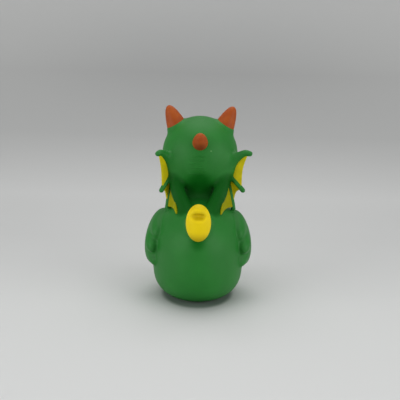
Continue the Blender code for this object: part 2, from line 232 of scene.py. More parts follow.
@dataclass(frozen=True)
class PaintedShade:
    """Painted shade on both sides of the duck: a stretch made deeper in colour and without
    gloss.

    It lies round a line, given in millimetres for the duck's left: full within `near` of the
    line and gone at `far`.
    """

    start: tuple[float, float, float]
    end: tuple[float, float, float]
    near: float
    far: float
    share: float

    def mask(self, bench: Bench, place: bpy.types.NodeSocket) -> Wire:
        """How much painted shade a place has."""
        parts = bench.node("ShaderNodeSeparateXYZ", {0: place})
        start, end = Vector(self.start) * MM, Vector(self.end) * MM
        run = end - start
        gaps = [
            bench.wire(parts, "X").math("ABSOLUTE") - start.x,
            bench.wire(parts, "Y") - start.y,
            bench.wire(parts, "Z") - start.z,
        ]
        along = sum(gap * step for gap, step in zip(gaps, run)) / run.length_squared
        along = along.at_least(0.0).at_most(1.0)
        aside = [gap - along * step for gap, step in zip(gaps, run)]
        distance = sum(gap * gap for gap in aside) ** 0.5
        return distance.ramped(self.far * MM, self.near * MM) * self.share


@dataclass(frozen=True)
class VinylFinish:
    """Soft vinyl or the paint on it: a satin skin whose colour and gloss wander a little.

    The sizes are in millimetres. The body tone wanders over `patch`, the streaks are the marks
    of a mask-sprayed coat, and the grain is the fine skin of the mould. The sheen is a coat,
    taken away where shade is painted in.
    """

    name: str
    colour: Colour
    light: Colour
    deep: Colour
    roughness: float
    patch: float = 14.0
    patch_edge: tuple[float, float] = (0.42, 0.70)
    patch_dullness: float = 0.16
    streak: float = 2.6
    streak_edge: tuple[float, float] = (0.52, 0.78)
    streak_share: float = 0.25
    streak_dullness: float = 0.14
    grain: float = 0.35
    grain_depth: float = 0.010
    ripple: float = 3.2
    ripple_depth: float = 0.030
    gloss: float = 0.35
    sheen: float = 0.0
    painted_shades: tuple[PaintedShade, ...] = ()
    painted_shade_tone: float = 0.25

    def material(self) -> bpy.types.Material:
        """The finish as a material, made once."""
        made = bpy.data.materials.get(self.name)
        return made or self._build()

    def _build(self) -> bpy.types.Material:
        """Makes the material's nodes."""
        material, bench, place = blank_material(self.name)
        patches = self._noise(bench, place, self.patch, 2.0, 0.5)
        streaks = self._noise(bench, place, self.streak, 4.0, 0.6)
        grain = self._noise(bench, place, self.grain, 2.0, 0.5)
        ripple = self._noise(bench, place, self.ripple, 2.0, 0.4)
        tone = bench.mixed(patches.ramped(*self.patch_edge), self.colour, self.light)
        depth = streaks.ramped(*self.streak_edge) * self.streak_share
        tone = bench.mixed(depth, tone, self.deep)
        # Painted shade: round each given line the colour goes towards a dark copy of the deep
        # tone, and the sheen goes away.
        shaded = tuple(value * self.painted_shade_tone for value in self.deep)
        unshaded_share: Wire | float = 1.0
        for painted_shade in self.painted_shades:
            mask = painted_shade.mask(bench, place)
            tone = bench.mixed(mask, tone, shaded)
            unshaded_share = (1.0 - mask / painted_shade.share) * unshaded_share
        dullness = (patches - 0.5) * self.patch_dullness
        dullness = dullness + (streaks - 0.5) * self.streak_dullness + self.roughness
        height = grain * self.grain_depth + ripple * self.ripple_depth
        bump = bench.node(
            "ShaderNodeBump", {"Height": height, "Distance": MM, "Strength": 1.0}
        )
        bench.dress(
            {
                "Base Color": tone,
                "Roughness": dullness,
                "Normal": bump.outputs["Normal"],
                "Specular IOR Level": self.gloss,
                "Coat Weight": unshaded_share * self.sheen,
                "Coat Roughness": self.roughness,
            }
        )
        return material

    @staticmethod
    def _noise(
        bench: Bench, place: bpy.types.NodeSocket, size: float, detail: float, rough: float
    ) -> Wire:
        """Noise whose spots are about `size` millimetres across."""
        sockets = {
            "Vector": place,
            "Scale": 1.0 / (size * MM),
            "Detail": detail,
            "Roughness": rough,
        }
        return bench.wire(bench.node("ShaderNodeTexNoise", sockets))


GREEN = VinylFinish(
    name="green_vinyl_skin",
    colour=(0.005, 0.165, 0.010),
    light=(0.007, 0.184, 0.012),
    deep=(0.004, 0.132, 0.007),
    roughness=0.58,
    gloss=0.10,
    sheen=0.64,
    # Painted shade: the arms and neck darker and dull where the head shades them, and the rump
    # under the tail as its shadow.
    painted_shades=(
        PaintedShade((6.0, 14.0, 46.0), (12.6, 2.5, 60.0), near=3.2, far=6.2, share=0.60),
        PaintedShade((0.0, 3.0, 56.0), (0.0, 7.0, 60.5), near=2.4, far=7.4, share=0.43),
        PaintedShade((0.0, 28.0, 39.0), (0.0, 31.0, 35.0), near=0.6, far=5.2, share=0.36),
    ),
)
ORANGE = VinylFinish(
    name="orange_horn_paint",
    colour=(0.350, 0.060, 0.003),
    light=(0.400, 0.080, 0.006),
    deep=(0.270, 0.040, 0.002),
    roughness=0.55,
    gloss=0.28,
    patch=5.0,
    # Painted shade: the spike darker and dull at its foot and underside.
    painted_shades=(PaintedShade((0.0, 10.5, 75.5), (0.0, 12.0, 76.5), near=1.2, far=5.0, share=0.55),),
)
YELLOW = VinylFinish(
    name="yellow_web_paint",
    colour=(0.860, 0.640, 0.001),
    light=(0.890, 0.670, 0.003),
    deep=(0.760, 0.530, 0.001),
    roughness=0.55,
    gloss=0.18,
    patch=6.0,
    # Painted shade on the tail tip: darker and dull in the scoop under the lip, at the low end
    # and on the lip's top.
    painted_shades=(
        PaintedShade((0.0, 34.6, 49.4), (1.0, 34.4, 49.4), near=0.3, far=3.2, share=0.50),
        PaintedShade((0.0, 33.0, 35.5), (2.0, 33.0, 35.5), near=1.0, far=7.0, share=0.50),
        PaintedShade((0.0, 32.0, 54.0), (2.0, 32.0, 54.0), near=1.0, far=4.5, share=0.26),
    ),
)
# Painted shade: the yellow made darker and greener for the webs, which lie in shade.
SHADED_WEB_YELLOW = VinylFinish(
    name="shaded_web_paint",
    colour=(0.550, 0.470, 0.001),
    light=(0.640, 0.540, 0.002),
    deep=(0.400, 0.380, 0.002),
    roughness=0.55,
    gloss=0.16,
    patch=5.0,
)
# Painted shade: the web yellow darker still for the inner webs, deep in the head's shade beside
# the arms.
DEEP_SHADED_WEB_YELLOW = VinylFinish(
    name="deep_shaded_web_paint",
    colour=(0.300, 0.295, 0.001),
    light=(0.360, 0.340, 0.002),
    deep=(0.200, 0.240, 0.002),
    roughness=0.55,
    gloss=0.08,
    patch=5.0,
)
# Painted glints: pale green for the small raised bumps on the back of the head.
PAINTED_GLINT = VinylFinish(
    name="painted_glint_fleck",
    colour=(0.120, 0.330, 0.100),
    light=(0.140, 0.360, 0.120),
    deep=(0.080, 0.260, 0.070),
    roughness=0.50,
)
BLACK = VinylFinish(
    name="black_eye_paint",
    colour=(0.012, 0.012, 0.013),
    light=(0.018, 0.018, 0.020),
    deep=(0.008, 0.008, 0.008),
    roughness=0.24,
    gloss=0.5,
    ripple_depth=0.0,
)


# Clay: distances on a grid


class Form(Protocol):
    """A solid form that knows how far a point is from its surface."""

    def box(self) -> tuple[np.ndarray, np.ndarray]:
        """Its lowest and highest corners."""

    def distance(self, x: np.ndarray, y: np.ndarray, z: np.ndarray) -> np.ndarray:
        """Signed distances in millimetres, negative inside."""


@dataclass
class Ball:
    """A ball, stretched along its own axes and turned."""

    centre: Vector
    radii: tuple[float, float, float]
    turn: Quaternion = field(default_factory=Quaternion)

    def box(self) -> tuple[np.ndarray, np.ndarray]:
        """A cube that holds the ball however it is turned."""
        reach = max(self.radii)
        return np.array(self.centre) - reach, np.array(self.centre) + reach

    def distance(self, x: np.ndarray, y: np.ndarray, z: np.ndarray) -> np.ndarray:
        """Distances, exact on the surface and close to exact near it."""
        axes = self.turn.to_matrix()
        offset = (x - self.centre.x, y - self.centre.y, z - self.centre.z)
        ratio = 0.0
        steep = 0.0
        for i, radius in enumerate(self.radii):
            local = sum(axes[k][i] * offset[k] for k in range(3)) / radius
            ratio = ratio + local**2
            steep = steep + (local / radius) ** 2
        ratio = np.sqrt(ratio)
        return ratio * (ratio - 1.0) / np.maximum(np.sqrt(steep), 1e-6)


@dataclass
class Rod:
    """A round bar along a path, with its own radius at each point."""

    path: Sequence[Vector]
    radii: Sequence[float]

    def box(self) -> tuple[np.ndarray, np.ndarray]:
        """The path's box, widened by the largest radius."""
        points = np.array([tuple(point) for point in self.path])
        return points.min(0) - max(self.radii), points.max(0) + max(self.radii)

    def distance(self, x: np.ndarray, y: np.ndarray, z: np.ndarray) -> np.ndarray:
        """Distances to the nearest stretch of the bar."""
        best: np.ndarray | None = None
        ends = zip(self.path, self.path[1:], self.radii, self.radii[1:])
        for start, end, first, last in ends:
            run = end - start
            dx, dy, dz = x - start.x, y - start.y, z - start.z
            share = (dx * run.x + dy * run.y + dz * run.z) / run.length_squared
            share = np.clip(share, 0.0, 1.0)
            gap = np.sqrt(
                (dx - share * run.x) ** 2
                + (dy - share * run.y) ** 2
                + (dz - share * run.z) ** 2
            )
            gap = gap - first - (last - first) * share
            best = gap if best is None else np.minimum(best, gap)
        return best


@dataclass
class Hull:
    """The duck's body: egg-shaped level by level, with its own fullness behind and in front."""

    half_width: float
    height: float
    widest_at: float
    rump: float
    rump_fullest_at: float
    chest: float
    chest_fullest_at: float
    keel_depth: float
    keel_power: float
    shoulder_power: float
    rump_power: float
    chest_power: float

    def box(self) -> tuple[np.ndarray, np.ndarray]:
        """The hull's box."""
        low = np.array((-self.half_width, -self.chest, -self.keel_depth))
        return low, np.array((self.half_width, self.rump, self.height))

    def distance(self, x: np.ndarray, y: np.ndarray, z: np.ndarray) -> np.ndarray:
        """Distances, from a level that is 0 on the hull and how fast it changes."""
        behind = y > 0.0
        across = (x / self.half_width) ** 2
        along = (y / np.where(behind, self.rump, self.chest)) ** 2
        lengthwise = along / np.maximum(across + along, 1e-9)
        ends_at = np.where(behind, self.rump_fullest_at, self.chest_fullest_at)
        ends_power = np.where(behind, self.rump_power, self.chest_power)
        fullest_at = self.widest_at + (ends_at - self.widest_at) * lengthwise
        power = self.shoulder_power + (ends_power - self.shoulder_power) * lengthwise
        below = np.maximum(fullest_at - z, 0.0) / (fullest_at + self.keel_depth)
        above = np.maximum(z - fullest_at, 0.0) / (self.height - fullest_at)
        level = np.sqrt(across + along + below**self.keel_power + above**power) - 1.0
        slopes = np.gradient(level, self._spacing(x))
        steep = np.sqrt(sum(slope**2 for slope in slopes))
        return level / np.maximum(steep, 1e-3)

    @staticmethod
    def _spacing(x: np.ndarray) -> float:
        """The grid's spacing."""
        return float(x[1, 0, 0] - x[0, 0, 0])


class Clay:
    """A block of space in which forms are joined softly and cut, then drawn as one skin."""

    def __init__(self, low: Sequence[float], high: Sequence[float], cell: float) -> None:
        """Lays out the grid.

        Args:
            low: the block's lowest corner.
            high: its highest corner.
            cell: the grid's spacing.
        """
        self.cell = cell
        counts = [int(math.ceil((h - l) / cell)) + 1 for l, h in zip(low, high)]
        self.axes = [l + cell * np.arange(n) for l, n in zip(low, counts)]
        self.field = np.full(counts, FAR_AWAY)

    @classmethod
    def around(cls, centre: Vector, reach: Vector, cell: float) -> Clay:
        """A block that reaches equally far on both sides of a place."""
        return cls(tuple(centre - reach), tuple(centre + reach), cell)

    def _window(self, form: Form) -> tuple[tuple[slice, ...], list[np.ndarray]]:
        """The part of the grid near a form, and its coordinates."""
        low, high = form.box()
        cuts = []
        for axis, least, most in zip(self.axes, low, high):
            first = int(np.searchsorted(axis, least - WINDOW_MARGIN))
            last = int(np.searchsorted(axis, most + WINDOW_MARGIN))
            cuts.append(slice(max(first, 0), min(last + 1, len(axis))))
        coordinates = [axis[cut] for axis, cut in zip(self.axes, cuts)]
        return tuple(cuts), list(np.meshgrid(*coordinates, indexing="ij"))

    def join(self, form: Form, blend: float) -> None:
        """Adds a form, with a fillet where it meets what is there.

        Args:
            form: the form.
            blend: how far from the meeting line the fillet starts.
        """
        cuts, (x, y, z) = self._window(form)
        there = self.field[cuts]
        new = form.distance(x, y, z)
        near = np.maximum(blend - np.abs(there - new), 0.0) / blend
        self.field[cuts] = np.minimum(there, new) - near**3 * blend / 6.0

    def cut(self, form: Form, blend: float) -> None:
        """Takes a form away, with the edge rounded over `blend`."""
        cuts, (x, y, z) = self._window(form)
        there = self.field[cuts]
        away = -form.distance(x, y, z)
        near = np.maximum(blend - np.abs(there - away), 0.0) / blend
        self.field[cuts] = np.maximum(there, away) + near**3 * blend / 6.0

    def stand(self, height: float) -> None:
        """Cuts the clay flat at a height, to stand on."""
        self.field = np.maximum(self.field, height - self.axes[2][None, None, :])

    def piece(self, name: str, finish: VinylFinish) -> bpy.types.Object:
        """Draws the skin as an object.

        Args:
            name: the object's name.
            finish: its finish.

        Returns:
            The object, in metres.
        """
        points, faces = surface_net(self.field)
        low = np.array([axis[0] for axis in self.axes])
        points = (points * self.cell + low) * MM
        return mesh_piece(name, points, faces, finish.material())


def surface_net(values: np.ndarray) -> tuple[np.ndarray, np.ndarray]:
    """Draws the zero level of values on a grid as quads.

    Args:
        values: numbers on the grid, negative inside the solid.

    Returns:
        The points, in grid steps, and the four points of each face, turned outwards.
    """
    inside = values < 0.0
    shape = tuple(n - 1 for n in values.shape)
    total = np.zeros((*shape, 3))
    count = np.zeros(shape)
    for axis in range(3):
        others = [k for k in range(3) if k != axis]
        for step_u in (0, 1):
            for step_v in (0, 1):
                start: list[slice] = [slice(None)] * 3
                start[axis] = slice(0, shape[axis])
                start[others[0]] = slice(step_u, step_u + shape[others[0]])
                start[others[1]] = slice(step_v, step_v + shape[others[1]])
                end = list(start)
                end[axis] = slice(1, shape[axis] + 1)
                first, last = values[tuple(start)], values[tuple(end)]
                crossed = inside[tuple(start)] != inside[tuple(end)]
                share = np.where(crossed, first / np.where(crossed, first - last, 1.0), 0.0)
                total[..., axis] += share
                total[..., others[0]] += crossed * step_u
                total[..., others[1]] += crossed * step_v
                count += crossed
    active = count > 0
    numbers = np.full(shape, -1)
    numbers[active] = np.arange(int(active.sum()))
    cells = np.argwhere(active)
    points = cells + total[active] / count[active][:, None]
    faces = []
    for axis in range(3):
        u, v = (axis + 1) % 3, (axis + 2) % 3
        start = [slice(None)] * 3
        start[axis] = slice(0, shape[axis])
        end = list(start)
        end[axis] = slice(1, shape[axis] + 1)
        for k in (u, v):
            start[k] = end[k] = slice(1, shape[k])
        out_first = inside[tuple(start)]
        crossing = np.argwhere(out_first != inside[tuple(end)])
        grows = out_first[tuple(crossing.T)]
        base = crossing.copy()
        base[:, u] += 1
        base[:, v] += 1
        corners = []
        for back_u, back_v in ((1, 1), (0, 1), (0, 0), (1, 0)):
            corner = base.copy()
            corner[:, u] -= back_u
            corner[:, v] -= back_v
            corners.append(numbers[tuple(corner.T)])
        quad = np.stack(corners, axis=1)
        quad[~grows] = quad[~grows][:, ::-1]
        faces.append(quad)
    return points, np.concatenate(faces)


# Meshes


def in_scene(name: str, data: bpy.types.ID) -> bpy.types.Object:
    """A new object in the scene, at the origin."""
    thing = bpy.data.objects.new(name, data)
    bpy.context.scene.collection.objects.link(thing)
    return thing


def sheet(rows: Sequence[Sequence[Sequence[float]]]) -> tuple[list, list[tuple[int, ...]]]:
    """The points and faces of a sheet that is given as rows of points."""
    width = len(rows[0])
    starts = range(0, (len(rows) - 1) * width, width)
    faces = [
        (i + k + 1, i + k, i + k + width, i + k + width + 1)
        for i in starts
        for k in range(width - 1)
    ]
    return [tuple(point) for row in rows for point in row], faces


def mesh_piece(
    name: str, points: Any, faces: Any, material: bpy.types.Material
) -> bpy.types.Object:
    """Makes a smooth-shaded object.

    Args:
        name: the object's name.
        points: its points in metres.
        faces: the points of each face.
        material: its material.

    Returns:
        The object, at the origin.
    """
    mesh = bpy.data.meshes.new(name)
    mesh.from_pydata(np.asarray(points).tolist(), [], np.asarray(faces).tolist())
    mesh.update()
    mesh.shade_smooth()
    mesh.materials.append(material)
    return in_scene(name, mesh)


@dataclass(frozen=True)
class Bow:
    """A smooth curve through points."""

    points: tuple[Vector, ...]

    @classmethod
    def leaning(cls, start: Vector, bend: Vector, end: Vector) -> Bow:
        """A curve from start to end that leans towards bend."""
        halfway = start.lerp(bend, 0.5).lerp(bend.lerp(end, 0.5), 0.5)
        return cls((start, halfway, end))

    def at(self, share: float) -> Vector:
        """The point at a share of the way.

        Args:
            share: 0 at the first point and 1 at the last.

        Returns:
            The point.
        """
        spans = len(self.points) - 1
        place = min(max(share, 0.0), 1.0) * spans
        i = min(int(place), spans - 1)
        t = place - i
        start, end = self.points[i], self.points[i + 1]
        before = self.points[i - 1] if i else start * 2.0 - end
        after = self.points[i + 2] if i + 2 <= spans else end * 2.0 - start
        return (
            start * 2.0
            + (end - before) * t
            + (before * 2.0 - start * 5.0 + end * 4.0 - after) * t**2
            + (start * 3.0 - before - end * 3.0 + after) * t**3
        ) * 0.5

    def rod(self, first: float, last: float, swell: float = 0.0, steps: int = 12) -> Rod:
        """A round bar along the curve.

        Args:
            first: its radius at the start.
            last: its radius at the end.
            swell: how much thicker it is half-way.
            steps: how many straight stretches it is made of.

        Returns:
            The bar.
        """
        shares = [i / steps for i in range(steps + 1)]
        path = [self.at(share) for share in shares]
        radii = [
            first + (last - first) * share + swell * math.sin(math.pi * share)
            for share in shares
        ]
        return Rod(path, radii)


def settle(piece: bpy.types.Object) -> bpy.types.Object:
    """Puts a finished piece on its body, hides the CAD model's moulding and logs the piece's
    triangles.
    """
    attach(piece, BODY)
    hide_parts(NODE)
    triangles = sum(len(face.vertices) - 2 for face in piece.data.polygons)
    log.info("%s: %d triangles", piece.name, triangles)
    return piece


# Grown pieces: Geometry Nodes


@dataclass
class Recipe:
    """A Geometry Nodes tree with named inputs, run once to give a plain mesh."""

    name: str
    inputs: dict[str, float] = field(default_factory=dict)

    def __post_init__(self) -> None:
        """Makes the empty tree with its inputs."""
        self.tree = bpy.data.node_groups.new(self.name, "GeometryNodeTree")
        face = self.tree.interface
        face.new_socket("Geometry", in_out="INPUT", socket_type="NodeSocketGeometry")
        face.new_socket("Geometry", in_out="OUTPUT", socket_type="NodeSocketGeometry")
        self.identifiers = {
            label: face.new_socket(
                label, in_out="INPUT", socket_type="NodeSocketFloat"
            ).identifier
            for label in self.inputs
        }
        self.bench = Bench(self.tree)
        self.start = self.bench.node("NodeGroupInput")

    def given(self, label: str) -> Wire:
        """One of the tree's named inputs."""
        return self.bench.wire(self.start, label)

    def close(self, geometry: bpy.types.NodeSocket, finish: VinylFinish) -> None:
        """Ends the tree: real meshes, smooth, in one finish."""
        real = self.bench.node("GeometryNodeRealizeInstances", {0: geometry})
        smooth = self.bench.node("GeometryNodeSetShadeSmooth", {0: real.outputs[0]})
        dressed = self.bench.node(
            "GeometryNodeSetMaterial",
            {"Geometry": smooth.outputs[0], "Material": finish.material()},
        )
        self.bench.node("NodeGroupOutput", {0: dressed.outputs[0]})

    def grow(self, name: str, place: Matrix) -> bpy.types.Object:
        """Runs the tree.

        Args:
            name: the new piece's name.
            place: where its mesh goes.

        Returns:
            A plain object without the modifier.
        """
        bed = in_scene(f"{name}_bed", bpy.data.meshes.new(name))
        modifier = bed.modifiers.new(self.name, "NODES")
        modifier.node_group = self.tree
        for label, value in self.inputs.items():
            modifier[self.identifiers[label]] = value
        bpy.context.view_layer.update()
        graph = bpy.context.evaluated_depsgraph_get()
        mesh = bpy.data.meshes.new_from_object(bed.evaluated_get(graph))
        bpy.data.objects.remove(bed, do_unlink=True)
        mesh.name = name
        mesh.transform(place)
        return in_scene(name, mesh)


def standing(foot: Vector, axis: Vector) -> Matrix:
    """Puts what grew along +Z on a foot, so that it points along an axis."""
    return Matrix.Translation(foot * MM) @ axis.to_track_quat("Z", "Y").to_matrix().to_4x4()


def sweep_skin(
    bench: Bench, line: bpy.types.NodeSocket, ring: bpy.types.NodeSocket, girth: Wire
) -> bpy.types.NodeSocket:
    """Sweeps a ring of radius 1 along a line.

    Args:
        bench: the tree's bench.
        line: the line or lines.
        ring: the outline that is swept.
        girth: how much bigger the ring is at each place.

    Returns:
        The closed skin.
    """
    skin = bench.node(
        "GeometryNodeCurveToMesh",
        {"Curve": line, "Profile Curve": ring, "Fill Caps": True},
    )
    if "Scale" in skin.inputs:
        bench.tree.links.new(girth.socket, skin.inputs["Scale"])
    else:
        sized = bench.node(
            "GeometryNodeSetCurveRadius", {"Curve": line, "Radius": girth}
        )
        bench.tree.links.new(sized.outputs[0], skin.inputs["Curve"])
    return skin.outputs[0]


def cone_recipe(
    name: str, length: float, base: float, sunk: float, fullness: float, roundness: float
) -> Recipe:
    """A round-tipped cone along +Z, made by turning its outline.

    The outline's radius at a share t of the height is base * (1 - t ** fullness) ** roundness.

    Args:
        name: the recipe's name.
        length: the cone's height above its foot, in millimetres.
        base: its radius at the foot.
        sunk: how far it goes on below the foot.
        fullness: 1 for straight sides, and more where they swell.
        roundness: 1 for a sharp tip, and 0.5 for a round one.

    Returns:
        The recipe.
    """
    sizes = {"Length": length * MM, "Base": base * MM, "Sunk": sunk * MM}
    recipe = Recipe(name, {**sizes, "Fullness": fullness, "Roundness": roundness})
    bench = recipe.bench
    top, foot = recipe.given("Length"), recipe.given("Sunk")
    line = bench.node("GeometryNodeCurvePrimitiveLine", {"End": (0.0, 0.0, 1.0)})
    fine = bench.node(
        "GeometryNodeResampleCurve", {"Curve": line.outputs[0], "Count": 64}
    )
    share = bench.wire(bench.node("GeometryNodeSplineParameter"), "Factor")
    eased = 1.0 - (1.0 - share) ** 2.0
    height = eased * (top + foot) - foot
    spot = bench.node("ShaderNodeCombineXYZ", {"Z": height})
    placed = bench.node(
        "GeometryNodeSetPosition",
        {"Geometry": fine.outputs[0], "Position": spot.outputs[0]},
    )
    spots = bench.node(
        "ShaderNodeSeparateXYZ", {0: bench.node("GeometryNodeInputPosition").outputs[0]}
    )
    up = (bench.wire(spots, "Z") / top).at_least(0.0).at_most(1.0)
    hollow = (1.0 - up ** recipe.given("Fullness")).at_least(1e-6)
    girth = hollow ** recipe.given("Roundness") * recipe.given("Base")
    ring = bench.node(
        "GeometryNodeCurvePrimitiveCircle", {"Resolution": 48, "Radius": 1.0}
    )
    recipe.close(sweep_skin(bench, placed.outputs[0], ring.outputs[0], girth), ORANGE)
    return recipe


# The duck


@dataclass
class Trunk:
    """Body, neck and head."""

    hull: Hull = field(
        default_factory=lambda: Hull(
            half_width=22.5,
            height=50.0,
            widest_at=18.5,
            rump=31.0,
            rump_fullest_at=28.5,
            chest=27.0,
            chest_fullest_at=24.0,
            keel_depth=2.2,
            keel_power=3.3,
            shoulder_power=3.4,
            rump_power=2.1,
            chest_power=2.2,
        )
    )
    neck_radius: float = 10.4
    neck_rise: float = 1.8
    neck_forward: float = 6.5
    neck_blend: float = 7.0
    head_radius: float = 18.85
    head_forward: float = 8.0

    @property
    def head_centre(self) -> Vector:
        """The middle of the head."""
        rise = self.hull.height + self.neck_rise + self.head_radius
        return Vector((0.0, -self.head_forward, rise))

    def on_head(self, spread: float, lift: float, behind: bool) -> Vector:
        """The way out of the head's middle at two angles in degrees.

        Args:
            spread: the angle towards the duck's left.
            lift: the angle above the level.
            behind: whether it is on the back of the head.

        Returns:
            A direction of length 1.
        """
        turn, rise = math.radians(spread), math.radians(lift)
        way = 1.0 if behind else -1.0
        level = math.cos(rise)
        return Vector((math.sin(turn) * level, way * math.cos(turn) * level, math.sin(rise)))

    def model(self, clay: Clay) -> None:
        """Adds the trunk to the clay."""
        clay.join(self.hull, 1.0)
        foot = Vector((0.0, -self.neck_forward, self.hull.height - 4.0))
        top = self.head_centre - Vector((0.0, 0.0, self.head_radius * 0.55))
        clay.join(Rod([foot, top], [self.neck_radius] * 2), self.neck_blend)
        clay.join(Ball(self.head_centre, (self.head_radius,) * 3), self.neck_blend)


@dataclass
class FlankWing:
    """A thick side wing that ends behind in three soft feather lobes."""

    side: Side
    trunk: Trunk
    thickness: float = 12.0
    length: float = 26.0
    height: float = 28.3
    stand: float = 3.9
    centre_height: float = 29.6
    tilt: float = 12.0
    feathers: int = 3
    feather_thickness: float = 7.4
    feather_overhang: float = 3.2

    def model(self, clay: Clay) -> None:
        """Adds the wing to the clay."""
        way = self.side.value
        lean = Quaternion((0.0, 1.0, 0.0), -way * math.radians(self.tilt))
        out = self.trunk.hull.half_width + self.stand - self.thickness / 2
        centre = Vector((way * out, 0.0, self.centre_height))
        half = (self.thickness / 2, self.length / 2, self.height / 2)
        clay.join(Ball(centre, half, lean), 3.0)
        droop = lean @ Quaternion((1.0, 0.0, 0.0), -math.radians(20.0))
        for i in range(self.feathers):
            share = (i + 0.5) / self.feathers
            bow = (2.0 * share - 1.0) ** 2 + 0.5 * (share - 0.5)
            thick = self.feather_thickness * (0.98 + 0.30 * share)
            offset = Vector(
                (
                    way * (half[0] * (0.96 - 0.75 * bow) - thick / 2),
                    half[1] * (0.52 - 0.22 * bow),
                    (0.5 - share) * self.height * 0.74,
                )
            )
            lobe = (
                thick / 2,
                half[1] * 0.45 + self.feather_overhang,
                self.height / self.feathers * (0.52 - 0.03 * share),
            )
            clay.join(Ball(centre + lean @ offset, lobe, droop), 1.8)


@dataclass
class DragonWing:
    """An arm from the back to a wrist beside the head, three fingers and three webs."""

    side: Side
    trunk: Trunk
    sweep: float
    arm_radius: float = 2.9
    wrist_radius: float = 2.4
    wrist_spread: float = 13.0
    wrist_behind_head: float = 8.9
    wrist_drop: float = 7.5
    root_spread: float = 4.9
    root_behind_neck: float = 21.0
    root_drop: float = 5.6
    arm_bow: float = 2.4
    arm_swell: float = 0.8
    reach: float = 12.6
    hook_line: tuple[tuple[float, float], ...] = (
        (0.0, 0.5),
        (3.7, 5.8),
        (6.6, 8.6),
        (9.8, 10.6),
        (12.3, 10.5),
    )
    finger_radius: float = 1.35
    finger_tip_radius: float = 1.2
    hook_tip_radius: float = 1.35
    web_thickness: float = 1.1
    web_steps: tuple[int, int] = (22, 16)
    web_start: float = 0.10
    web_end: float = 0.93
    inner_web_end: float = 0.97
    scallop: float = 0.16
    inner_scallop: float = 0.06
    sag: float = 0.7

    @property
    def wrist(self) -> Vector:
        """The joint of the wing, just behind the head's side."""
        head = self.trunk.head_centre
        return Vector(
            (
                self.side.value * self.wrist_spread,
                head.y + self.wrist_behind_head,
                head.z - self.wrist_drop,
            )
        )

    @property
    def root(self) -> Vector:
        """Where the arm leaves the back."""
        return Vector(
            (
                self.side.value * self.root_spread,
                -self.trunk.neck_forward + self.root_behind_neck,
                self.trunk.hull.height - self.root_drop,
            )
        )

    def fan(self, out: float, up: float) -> Vector:
        """A point of the wing's fan: out from the wrist along its sweep, and up."""
        turn = math.radians(self.sweep)
        across = self.side.value * out * math.cos(turn)
        return self.wrist + Vector((across, out * math.sin(turn), up))

    @property
    def hook(self) -> Bow:
        """The top finger, which hooks outwards over the webs."""
        return Bow(tuple(self.fan(out, up) for out, up in self.hook_line))

    @property
    def middle(self) -> Bow:
        """The finger that points outwards and down."""
        drop = self.wrist.z - self.trunk.hull.height
        bend = self.fan(self.reach * 0.36, -drop * 0.24)
        return Bow.leaning(self.wrist, bend, self.fan(self.reach * 0.74, -drop * 0.62))

    @property
    def low(self) -> Bow:
        """The finger that hangs to the shoulder."""
        drop = self.wrist.z - self.trunk.hull.height
        start = self.fan(0.0, -self.wrist_radius * 0.2)
        bend = self.fan(self.reach * 0.20, -drop * 0.60)
        return Bow.leaning(start, bend, self.fan(self.reach * 0.36, -drop * 1.36))

    @property
    def bend(self) -> Vector:
        """Where the arm leans to, half-way up."""
        bow = Vector((self.side.value * self.arm_bow, 0.0, 0.0))
        return self.root.lerp(self.wrist, 0.5) + bow

    @property
    def arm_edge(self) -> Bow:
        """The line on the arm that the inner web is cast to."""
        foot = self.root + Vector(
            (
                self.side.value * self.arm_radius * 1.95,
                self.arm_radius * 0.6,
                0.0,
            )
        )
        return Bow.leaning(self.wrist, self.bend, foot)

    def model(self, clay: Clay) -> None:
        """Adds the arm and the fingers to the clay."""
        arm = Bow.leaning(self.root, self.bend, self.wrist)
        clay.join(arm.rod(self.arm_radius, self.wrist_radius, self.arm_swell), 5.5)
        clay.join(Ball(self.wrist, (self.wrist_radius * 1.15,) * 3), 3.0)
        clay.join(self.hook.rod(self.wrist_radius, self.hook_tip_radius), 7.5)
        for finger in (self.middle, self.low):
            clay.join(finger.rod(self.finger_radius, self.finger_tip_radius), 1.6)

    def webs(self) -> list[bpy.types.Object]:
        """The three yellow webs between the fingers and the arm."""
        hook, middle, low, edge = self.hook, self.middle, self.low, self.arm_edge
        spans = (
            ("outer", hook, middle, self.scallop, self.web_end, SHADED_WEB_YELLOW),
            ("middle", middle, low, self.scallop, self.web_end, SHADED_WEB_YELLOW),
            ("inner", low, edge, self.inner_scallop, self.inner_web_end, DEEP_SHADED_WEB_YELLOW),
        )
        return [self._web(*span) for span in spans]

    def _web(
        self,
        label: str,
        upper: Bow,
        lower: Bow,
        scallop: float,
        last: float,
        finish: VinylFinish,
    ) -> bpy.types.Object:
        """One web, with its free edge scalloped and its sheet a little slack.

        Args:
            label: which web it is.
            upper: the finger above it.
            lower: the finger, or the arm's edge, below it.
            scallop: how deep its free edge is drawn in, as a share of the fingers.
            last: how far it reaches along them.
            finish: its paint.

        Returns:
            The web.
        """
        lengthwise, crosswise = self.web_steps
        grid = []
        spread = (upper.at(1.0) - upper.at(0.0)), (lower.at(1.0) - lower.at(0.0))
        normal = spread[0].cross(spread[1]).normalized()
        if normal.y < 0.0:
            normal.negate()
        for i in range(lengthwise + 1):
            row = []
            for k in range(crosswise + 1):
                across = k / crosswise
                drawn = 1.0 - scallop * math.sin(math.pi * across)
                along = self.web_start + (last - self.web_start) * i / lengthwise
                share = along * drawn
                point = upper.at(share).lerp(lower.at(share), across)
                slack = self.sag * math.sin(math.pi * across) * share
                row.append((point - normal * slack) * MM)
            grid.append(row)
        name = f"{label}_web_{self.side.name.lower()}"
        web = mesh_piece(name, *sheet(grid), finish.material())
        wall = web.modifiers.new("wall", "SOLIDIFY")
        wall.thickness = self.web_thickness * MM
        wall.offset = 0.0
        soft = web.modifiers.new("soft", "SUBSURF")
        soft.levels = soft.render_levels = 1
        return web


